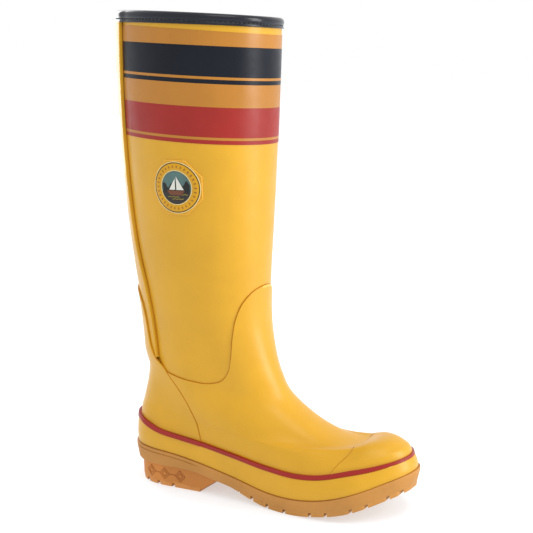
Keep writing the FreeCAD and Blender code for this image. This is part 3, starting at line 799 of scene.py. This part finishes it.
def make_strip_shade():
    """Painted shade down both sides of the raised back strip, in its groove; darkest beside the
    bands.
    """
    upper = float(below_rim(BINDING_DEPTH)(0.3))
    split = float(below_rim(BANDS[-1][2])(0.3))
    foot = float(level(lambda x: STRIP_LINE_FOOT_Z)(0.4))
    for name, top, bottom, finish in (("strip_shade_upper", upper, split, "dark_groove_shade"),
                                      ("strip_shade_lower", split, foot, "amber_cement_and_shade")):
        u = np.linspace(top, bottom, int(abs(top - bottom) * 30))
        lines = [along_line(sign * (strip_side(u) + 0.008), u, 0.2, STRIP_SHADE)
                 for sign in (1, -1)]
        place_joined(name, lines, finish, "ankle")


def binding_point(offset, depth, outside):
    """Ring of the binding's section; its outside is lifted over the back strip."""
    angle = np.linspace(0, TURN, 2 * ROUND, endpoint=False)
    u = below_rim(depth, depth * BINDING_FRONT if depth > 0 else depth)(angle)
    lift = strip_lift(angle, u) * outside * BINDING_OVER_STRIP
    return surface(angle, u, offset + lift)


def make_binding():
    inside = -RUBBER - LINING
    fold_face = inside - BINDING_FOLD
    section = (     # offset from the leg, depth below the rim, share of the lift over the strip
        (0.03, 8.8, 0), (0.6, 8.9, .6), (1.35, 8.8, 1), (1.6, 8.4, 1), (1.55, 7.9, 1),
        (1.25, 7.4, 1), (1.2, 6.9, 1), (.95, 6.5, 1), (.7, 6.2, 1), (.7, 5.8, 1),
        (.95, 5.5, 1), (1.35, 5.0, 1), (1.6, 4.2, 1), (1.75, 3.0, 1), (1.65, 1.8, 1),
        (1.3, .7, 1), (.7, -.2, .9), (-.1, -.85, .7), (-1.1, -1.2, .4), (-2.4, -1.3, .1),
        (fold_face + 1.0, -1.1, 0), (fold_face + .3, -.6, 0), (fold_face, .3, 0),
        (fold_face, 3, 0), (fold_face, 5.4, 0), (fold_face + .35, 5.8, 0),
        (fold_face + .35, 6.2, 0), (fold_face, 6.6, 0), (fold_face, 8.2, 0),
        (fold_face + .3, 8.8, 0), (inside - .03, 8.8, 0), (inside - .03, 4, 0),
        (inside - .03, -.05, 0), (-RUBBER, -.05, 0), (.03, -.05, 0), (.03, 4, 0),
    )
    binding = ring_loft("binding_tape", [binding_point(*s) for s in section])
    place(binding, "navy_tape", "leg", "top_binding")
    around = np.linspace(0, TURN, 4000)
    u = below_rim(STITCH_DEPTH, STITCH_DEPTH * BINDING_FRONT)(around)
    for name, offset, outside, nodes in (
            ("binding_thread", 0.95, BINDING_OVER_STRIP, ("binding_stitching",)),
            ("binding_thread_inside", fold_face - .02, 0, ())):
        line = surface(around, u, offset + strip_lift(around, u) * outside)
        run = np.concatenate([[0], np.cumsum(np.linalg.norm(np.diff(line, axis=0), axis=1))])
        count = int(run[-1] / STITCH_PITCH)
        pitch = run[-1] / count
        rods = []
        for i in range(count):
            ends = [np.array([np.interp(i * pitch + s, run, line[:, k]) for k in range(3)])
                    for s in (0, STITCH_LENGTH)]
            rods.append(rod(*ends, STITCH_RADIUS))
        place_joined(name, rods, "black_thread", "leg", *nodes)


def make_badge():
    plate = [(0, .02), (0, .55), (.12, .8), (.35, .95), (1.0, .95), (1.3, .8), (1.5, .6), (3, .6),
             (6, .6)]
    badge = make_object("badge_plate_moulded", *disc(octagon(BADGE_PLATE), plate, 0.02))
    place(badge, "badge_clear", "leg", "badge_plate")
    rim_inner, ring_inner = BADGE_RIM - BADGE_RIM_WIDTH, BADGE_PICTURE + BADGE_CREAM_WIDTH
    for name, outer, inner, high, finish, nodes in (
            ("badge_rim_cream", BADGE_RIM, rim_inner, 1.3, "badge_cream", ()),
            ("badge_rim_dark", rim_inner, BADGE_RING, 1.15, "badge_navy", ("badge_rim",)),
            ("badge_ring_gold", BADGE_RING, ring_inner, 1.2, "badge_gold", ("badge_ring",)),
            ("badge_ring_cream", ring_inner, BADGE_PICTURE, 1.3, "badge_cream", ())):
        place(hoop(name, outer, inner, high), finish, "leg", *nodes)
    marks = []
    middle = (BADGE_RING + ring_inner) / 2
    for spoke in spokes(MARKS):
        across = np.array([-spoke[1], spoke[0]])
        grid = np.array([[spoke * (middle + MARK_HALF_HEIGHT * a) + across * MARK_HALF_WIDTH * b
                          for a in (-1, 0, 1)] for b in (-1, 1)])
        marks.append(closed_skin(on_badge(grid, 1.32), on_badge(grid, 1.0)))
    place(add_bevel(make_object("badge_marks", *joined(marks)), 0.1), "badge_mark", "leg")
    make_picture()


def make_picture():
    """Small sailing boat on dark water before hills."""
    def rim_z(x):
        return np.sqrt(np.maximum(BADGE_PICTURE**2 - x**2, 0.01))

    def ridge(x):
        return 2.6 + 2.2 * np.cos(x * 0.55 + 0.8) + 0.9 * np.cos(x * 1.3)

    def shore(x):
        return -3.6 + 0.25 * np.sin(x * 0.9)

    def part(name, finish, foot, head, x0, x1, low, high, *nodes):
        place(make_object(name, *figure(foot, head, x0, x1, low, high)), finish, "leg", *nodes)

    edge = BADGE_PICTURE - .03      # the last three numbers of a part: its end, low and high face
    part("badge_sky_print", "badge_teal", lambda x: -rim_z(x), rim_z, -edge, edge, .5, 1.0,
         "badge_sky")
    part("badge_hills_print", "badge_night", shore, ridge, -edge + 1.2, edge - 1.2, .9, 1.1)
    part("badge_sea_print", "badge_dark", lambda x: -rim_z(x) * .995, shore, -edge + .6,
         edge - .6, .9, 1.15, "badge_sea")
    waves = [figure(lambda x, z=z: z - .3 + .25 * np.sin(x * 1.7 + z),
                    lambda x, z=z: z + .3 + .25 * np.sin(x * 1.7 + z), x0, x1, 1.1, 1.25, 3, 16)
             for z, x0, x1 in ((-7.6, -7.5, 3), (-9.3, -3.5, 7), (-5.6, 4.5, 10.5))]
    place_joined("badge_waves_print", waves, "badge_olive", "leg")
    sails = [
        figure(lambda x: -1.8, lambda x: 9.2 - (x - .8) * 1.7, .8, 7.2, 1.05, 1.4),
        figure(lambda x: -1.8, lambda x: 7.4 + (x + .4) * 1.65, -5.8, -.4, 1.05, 1.4),
    ]
    place_joined("badge_sails_print", sails, "badge_white", "leg", "badge_sails")
    part("badge_hull_print", "badge_red",
         lambda x: np.maximum(-6.2, -2.6 - 1.1 * (8.2 - np.abs(x))), lambda x: -2.4,
         -8, 8, 1.0, 1.45, "badge_hull")


# ---------------- foot
def make_foot():
    def sole_edge(angle):
        return 0 * angle

    grid = patch(lambda u: counter_side(np.minimum(u, join_u)),
                 lambda u: TURN - counter_side(np.minimum(u, join_u)),
                 sole_edge, vamp_top, 150, 120)
    vamp = shell("vamp_rubber", grid, lap(0.03, -RUBBER), OVERLAY, bevel=0.55)
    place(vamp, "yellow_rubber", "ankle", "vamp")

    def over_back_strip(angle, u):
        climb = (u - COUNTER_RISE[0]) / (COUNTER_RISE[1] - COUNTER_RISE[0])
        return BACK_STRIP * ease(climb) * over_strip(angle, u, 0.2)

    def counter_outer(angle, u):
        return OVERLAY + COUNTER_STEP + over_back_strip(angle, u)

    def counter_inner(angle, u):
        on_leg = u >= leg_edge(angle)
        return np.where(on_leg, 0.03 + over_back_strip(angle, u), lap(0.0, -RUBBER)(angle, u))

    grid = patch(lambda u: -counter_right(u), counter_right, sole_edge, tongue_top, 100, 140)
    counter = shell("counter_rubber", grid, counter_inner, counter_outer, bevel=0.55)
    place(counter, "yellow_rubber", "ankle", "heel_counter")

    lining_grid = ring_grid(level(lambda x: height_on(SOLE_LINE, x) + 1.9), leg_edge, ROUND, 70)
    lining = shell("foot_textile", lining_grid, -RUBBER - LINING, -RUBBER - 0.85, True, 0.2)
    place(lining, "cotton_lining", "ankle", "foot_lining")

    cap_grid = patch(cap_left, lambda u: TURN - cap_left(u), cap_bottom, cap_top, 90, 40)
    edge_x = np.array(TOE_LINE, float)

    def cap_outer(angle, u):
        spot = last(angle, u)
        x, z = spot[..., 0], spot[..., 2]
        behind = ease((x - np.interp(z, edge_x[:, 1], edge_x[:, 0])) / TOE_CAP_RISE)
        above = ease((z - height_on(PIPING_LINE, x)) / TOE_CAP_FADE)
        return OVERLAY + TOE_CAP + TOE_CAP_SWELL * behind * above

    cap = shell("toe_cap_rubber", cap_grid, OVERLAY + 0.02, cap_outer, bevel=0.4)
    place(cap, "yellow_rubber", "foot", "toe_cap")

    grid = ring_grid(sole_edge, piping_foot, 260, 14)
    foxing = shell("foxing_rubber", grid, OVERLAY + 0.03, FOXING, True, 0.5)
    place(foxing, "yellow_rubber", "foot", "foxing_band")

    def piping_outer(angle, u):
        x = last(angle, u)[..., 0]
        return PIPING + PIPING_STEP * (1 - ease((x - PIPING_STEP_X) / 0.7))

    grid = ring_grid(piping_foot, piping_top, 480, 6)
    piping = shell("foxing_piping_rubber", grid, OVERLAY + 0.03, piping_outer, True, 0.6)
    place(piping, "red_rubber", "foot", "foxing_piping")
    make_seams()
    make_footbed()


def make_seams():
    """Dark beads just outside the edges that they run along: cement with painted shade at the laps
    and the piping, painted shadow under the foxing and painted shade in the toe cap's creases.
    """
    lines = []
    angle = np.linspace(join_angle, TURN - join_angle, 260)
    lines.append(along_line(angle, vamp_top(angle) + .004, 0.3, SEAM))
    start = float(piping_top(counter_side(join_u * 0.5)))
    u = np.linspace(start, join_u, 90)
    for sign in (1, -1):
        lines.append(along_line(sign * (counter_side(u) + 0.006), u, OVERLAY - 0.12, SEAM))
    place_joined("lap_seams", lines, "amber_cement_and_shade", "ankle")
    side_u = np.linspace(join_u, tongue_corner_u, 70)
    side = tongue_side(side_u)
    top = np.linspace(side[-1], -side[-1], 40)
    angle = np.concatenate([side, top, -side[::-1]])
    u = np.concatenate([side_u, tongue_top(top), side_u[::-1]])
    height = 0.2 + BACK_STRIP * (fold(angle) < strip_side(u) + .02)
    line = along_line(angle, u + .004, height, SEAM)
    place(make_object("tongue_seam", *line), "amber_cement_and_shade", "ankle")
    low = np.linspace(cap_start_u, cap_corner_u, 60)
    side = cap_side(low)
    top = np.linspace(side[-1], TURN - side[-1], 60)
    angle = np.concatenate([side, top, TURN - side[::-1]])
    u = np.concatenate([low, cap_top(top), low[::-1]])
    cap_line = along_line(angle, u + .006, OVERLAY + 0.05, SEAM)
    around = np.linspace(0, TURN, 300, endpoint=False)
    piping_line = along_line(around, piping_top(around) + .012, OVERLAY + 0.15, SEAM, True)
    place_joined("foot_seams", [cap_line, piping_line], "amber_cement_and_shade", "foot")
    # Painted shade in the toe cap's creases.
    creases = []
    for sign in (1, -1):
        angle = sign * np.linspace(2.6, 2.82, 24)
        creases.append(along_line(angle, cap_top(angle) + .008, OVERLAY + 0.2, CREASE_SHADE))
    place_joined("toe_cap_crease_shade", creases, "dark_groove_shade", "foot")
    # Painted shadow in the gap where the foxing meets the sole.
    sole_line = along_line(around, 0 * around + .03, FOXING + 0.15, SOLE_GAP_SHADE, True)
    place(make_object("feather_gap_shade", *sole_line), "brown_gap_shade", "foot")


def make_footbed():
    count = 120
    angle = np.linspace(np.pi - 0.03, -np.pi + 0.03, 2 * count + 1)
    rows = []       # height over the sole's upper edge and inset from the boot's surface
    for lift, inset in ((6.6, 7.0), (6.5, 5.4), (6.2, 4.4), (5.6, 4.0), (3.4, 3.9), (1.85, 3.9)):
        u = level(lambda x: height_on(SOLE_LINE, x) + lift)(angle)
        rows.append(surface(angle, u, -inset))
    bed = make_object("footbed_padded", *block(rows, 16))
    place(bed, "footbed_foam", "foot", "footbed")


# ---------------- sole
def wall(angle, offset, height):
    """Points of the sole's side at height(x), its outline moved out by offset."""
    x, y = outline(angle, offset)
    return np.stack([x, y, height(x)], -1)


def make_sole():
    count = 150
    angle = np.linspace(np.pi - 0.02, -np.pi + 0.02, 2 * count + 1)

    def top(x):
        return height_on(SOLE_LINE, x)

    def under(x):
        lug = LUG * ease((x - NOTCHES[0]) / 2)
        return height_on(TREAD_LINE, x) + lug

    rows = [wall(angle, WELT - 0.5, top)]       # down the side: in from the welt, below its edge
    for inset, drop in ((.12, .12), (0, .5), (0, 2.3)):
        rows.append(wall(angle, WELT - inset, lambda x, d=drop: top(x) - d))
    x, y = outline(angle, WELT)
    deep_x, deep_y = outline(angle, WELT - WELT_GROOVE)
    groove = 1 - ease((x - GROOVE_END_X[0]) / (GROOVE_END_X[1] - GROOVE_END_X[0]))
    for drop in (2.7, 3.1):
        rows.append(np.stack([x + (deep_x - x) * groove, y + (deep_y - y) * groove,
                              top(x) - drop], -1))
    lip = 3.5
    rows.append(wall(angle, WELT - .05, lambda x: top(x) - lip))
    for share in (.35, .7, .93):
        rows.append(wall(angle, WELT - (WELT - WELT_LOWER) * share,
                         lambda x, s=share: top(x) - lip - (top(x) - lip - under(x)) * s))
    rows.append(wall(angle, WELT_LOWER - .3, lambda x: under(x) + .15))
    rows.append(wall(angle, WELT_LOWER - 1, under))
    parts = [block(rows, 14)]
    tip = outline(np.pi, WELT_LOWER)[0]
    edges = NOTCHES + (tip + LUG_GAP / 2 - 0.7,)
    for a, b in zip(edges, edges[1:]):
        parts.append(lug(a + LUG_GAP / 2, b - LUG_GAP / 2))
    outsole = add_bevel(make_object("outsole_rubber", *joined(parts)), 0.7)
    place(outsole, "gum_rubber", "foot", "outsole")
    make_heel()


def across_sole(x, offset, z, columns):
    """Grid of points from the outer side of the sole to the inner one, at each x."""
    outer, inner = side_y(x, offset), side_y(x, offset, True)
    y = outer + (inner - outer) * np.linspace(0, 1, columns)[None, :]
    return np.stack(np.broadcast_arrays(x, y, z), -1)


def lug(start, end):
    """Block of the tread across the sole."""
    x = np.linspace(start, end, 7)[:, None]
    foot = height_on(TREAD_LINE, x)
    return closed_skin(across_sole(x, WELT_LOWER - .25, foot, 17),
                       across_sole(x, WELT_LOWER + .1, foot + LUG + .6, 17))


def heel_offset(z):
    """How far the heel's side stands out from the sole's outline at a height."""
    return -HEEL_FOOT_INSET + (HEEL_FOOT_INSET - HEEL_TOP_INSET) * z / HEEL_BREAST[-1][1]


def make_heel():
    count = 90
    breast = np.array(HEEL_BREAST, float)
    heights = np.concatenate([np.linspace(20.4, 4.2, 12), [LUG, LUG - .05]])
    rows = []
    half_turn = np.linspace(0, np.pi, 1500)
    for z in heights:
        front = smooth(breast[:, 1], breast[:, :1], np.array(z))[0]
        offset = heel_offset(z) - (0.35 if z < 4 else 0.0)
        limit = np.interp(front, outline(half_turn, offset)[0], half_turn)
        angle = np.linspace(limit, -limit, 2 * count + 1)
        rows.append(wall(angle, offset,
                         lambda x, z=z: np.minimum(z, height_on(TREAD_LINE, x) + .6)))
    parts = [block(rows, 12)]
    tail = outline(0.0, heel_offset(0))[0]
    edges = (tail - LUG_GAP / 2 + .3,) + HEEL_NOTCHES
    for a, b in zip(edges, edges[1:]):
        parts.append(heel_lug(a + LUG_GAP / 2, b - LUG_GAP / 2))
    block_piece = add_bevel(make_object("heel_block_rubber", *joined(parts)), 0.8)
    place(block_piece, "heel_rubber", "foot", "heel_block")
    # The diamond lines are a darker rubber: painted shade, as in lines pressed into the heel.
    lines = []
    for inner in (False, True):
        for x, z in DIAMONDS:
            for half in DIAMOND_HALVES:
                corners = [(x - half, z), (x, z + half), (x + half, z), (x, z - half)]
                lines += [heel_line(a, b, inner)
                          for a, b in zip(corners, corners[1:] + corners[:1])]
        half = DIAMOND_HALVES[0]
        for (a, _), (b, _) in zip(DIAMONDS, DIAMONDS[1:]):
            lines.append(heel_line((a + half, 11.4), (b - half, 11.2), inner))
    place_joined("heel_pattern", lines, "heel_pattern_shade", "foot")


def heel_line(start, end, inner):
    """Raised line on the side of the heel between two side-view points."""
    t = np.linspace(0, 1, 7)
    x = start[0] + (end[0] - start[0]) * t
    z = start[1] + (end[1] - start[1]) * t
    y = np.array([float(side_y(a, heel_offset(b), inner)) for a, b in zip(x, z)])
    return tube(np.stack([x, y, z], -1), DIAMOND_LINE)


def heel_lug(start, end):
    """Block of the heel's tread between two places, its foot a little drawn in."""
    grids = []
    for z, inset in ((0.0, 0.45), (LUG + 1, 0.0)):
        x = np.linspace(start + inset, end - inset, 9)[:, None]
        grids.append(across_sole(x, heel_offset(z) - inset, z, 15))
    return closed_skin(*grids)


make_leg()
make_foot()
make_sole()

INSIDE = {
    "toe_puff": "fibreboard", "heel_stiffener": "fibreboard", "insole_board": "fibreboard",
    "shank": "spring_steel", "heel_filler": "filler_rubber", "forefoot_filler": "filler_rubber",
}
for node, finish in INSIDE.items():
    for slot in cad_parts[node].material_slots:
        slot.material = FINISH[finish]

# ---------------- floor, light and camera
CAMERA_PLACE, CAMERA_LENS, CAMERA_SENSOR = (0.466, -0.8517, 0.36), 79.0, 36.0
CAMERA_HEADING, CAMERA_PITCH = math.radians(28.536), math.radians(9.534)
FLOOR_HALF = 30
AIM = (-0.03, 0, 0.2)

scene = bpy.context.scene
scene.view_settings.view_transform = "Standard"
world = bpy.data.worlds.new("studio")
scene.world = world
world.use_nodes = True
background = world.node_tree.nodes["Background"].inputs
background["Color"].default_value = (1.0, 1.0, 1.0, 1.0)
background["Strength"].default_value = 1.0


def make_floor():
    h = FLOOR_HALF
    mesh = bpy.data.meshes.new("floor")
    mesh.from_pydata([(-h, -h, 0), (h, -h, 0), (h, h, 0), (-h, h, 0)], [], [(0, 1, 2, 3)])
    floor = bpy.data.objects.new("floor", mesh)
    scene.collection.objects.link(floor)
    new = Finish("pale_floor")
    cloud = new.ramp(new.noise(3, 2), .3, .7)
    mesh.materials.append(new.done({
        "Base Color": new.mix(cloud, (0.5, 0.54, 0.58, 1), (0.52, 0.56, 0.6, 1)),
        "Roughness": 0.7, "Specular IOR Level": 0.2,
        "Emission Color": (1.0, 1.0, 1.0, 1.0), "Emission Strength": 0.5,
    }))


def softbox(name, position, aim, width, height, power):
    light = bpy.data.lights.new(name, "AREA")
    light.shape = "RECTANGLE"
    light.size, light.size_y = width, height
    light.energy = power
    obj = bpy.data.objects.new(name, light)
    obj.location = position
    direction = Vector(aim) - Vector(position)
    obj.rotation_euler = direction.to_track_quat("-Z", "Y").to_euler()
    scene.collection.objects.link(obj)


def make_camera():
    """Camera pitched down and turned about Z."""
    camera = bpy.data.cameras.new("camera")
    camera.lens, camera.sensor_width, camera.clip_end = CAMERA_LENS, CAMERA_SENSOR, 100
    obj = bpy.data.objects.new("camera", camera)
    obj.location = CAMERA_PLACE
    obj.rotation_euler = (math.pi / 2 - CAMERA_PITCH, 0, CAMERA_HEADING)
    scene.collection.objects.link(obj)
    scene.camera = obj


make_floor()
softbox("key", (2.05, 0.63, 0.8), AIM, 0.8, 1.9, 36)
softbox("edge", (-1.9, 1.1, 0.7), AIM, 1.0, 1.8, 20)
softbox("top", (0.7, -0.4, 1.8), (0.06, 0, 0.05), 0.9, 0.9, 7)
make_camera()
